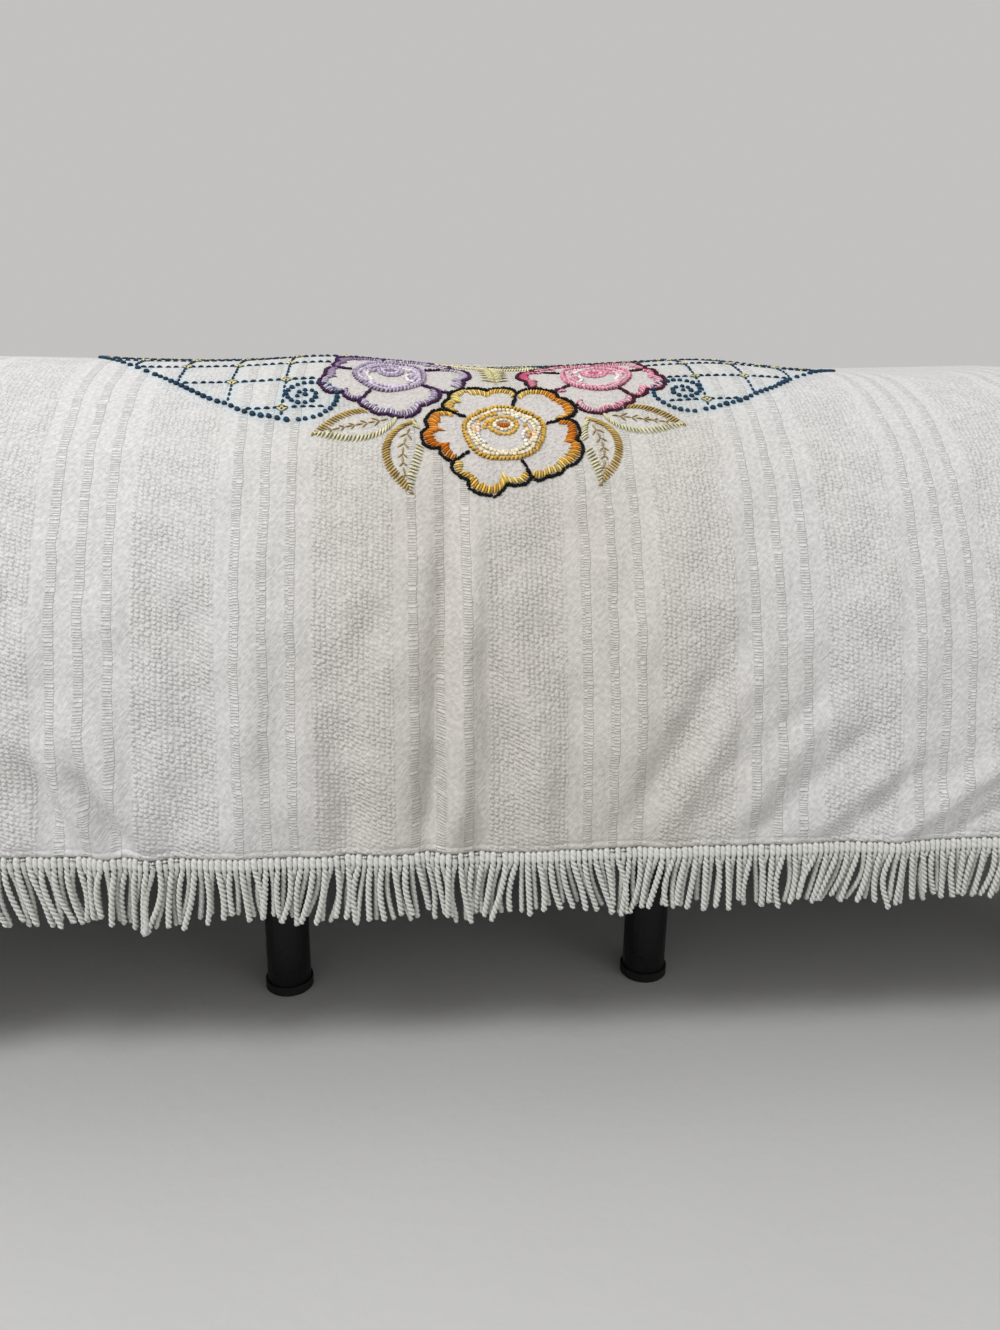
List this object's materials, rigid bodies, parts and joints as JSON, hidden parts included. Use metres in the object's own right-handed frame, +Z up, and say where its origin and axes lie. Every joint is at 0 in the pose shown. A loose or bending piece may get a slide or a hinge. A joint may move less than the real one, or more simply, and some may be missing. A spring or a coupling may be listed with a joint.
{
  "type": "chenille bedspread on a bed",
  "caption": "White ladder-striped cotton bedspread with thick yarn flower embroidery and a bullion fringe, draped over the foot and sides of a plain bed on round black legs.",
  "frame": {"origin": "on the floor, under the middle of the object's bounding box", "axes": "+X to the right when looking from the foot, +Y from the foot to the head, +Z up"},
  "size_m": [2.2247, 2.1689, 0.708],
  "materials": {
    "cloth": "woven white cotton with ladder stripes, smooth bands and crinkled bands",
    "fringe": "twisted white cotton cord",
    "mattress": "plain off-white ticking",
    "base": "plain dark upholstery",
    "leg": "black satin paint",
    "cap": "black moulded rubber"
  },
  "bodies": {
    "root": {"bedspread": "cloth", "fringe_foot": "fringe", "fringe_corner_left_1": "fringe", "fringe_corner_left_2": "fringe", "fringe_corner_left_3": "fringe", "fringe_corner_right_1": "fringe", "fringe_corner_right_2": "fringe", "fringe_corner_right_3": "fringe", "fringe_left": "fringe", "fringe_right": "fringe", "mattress": "mattress", "base_left": "base", "base_right": "base", "leg_foot_1": "leg", "leg_foot_2": "leg", "leg_foot_3": "leg", "leg_foot_4": "leg", "leg_head_1": "leg", "leg_head_2": "leg", "leg_head_3": "leg", "leg_head_4": "leg", "cap_foot_1": "cap", "cap_foot_2": "cap", "cap_foot_3": "cap", "cap_foot_4": "cap", "cap_head_1": "cap", "cap_head_2": "cap", "cap_head_3": "cap", "cap_head_4": "cap"}
  },
  "joints": []
}
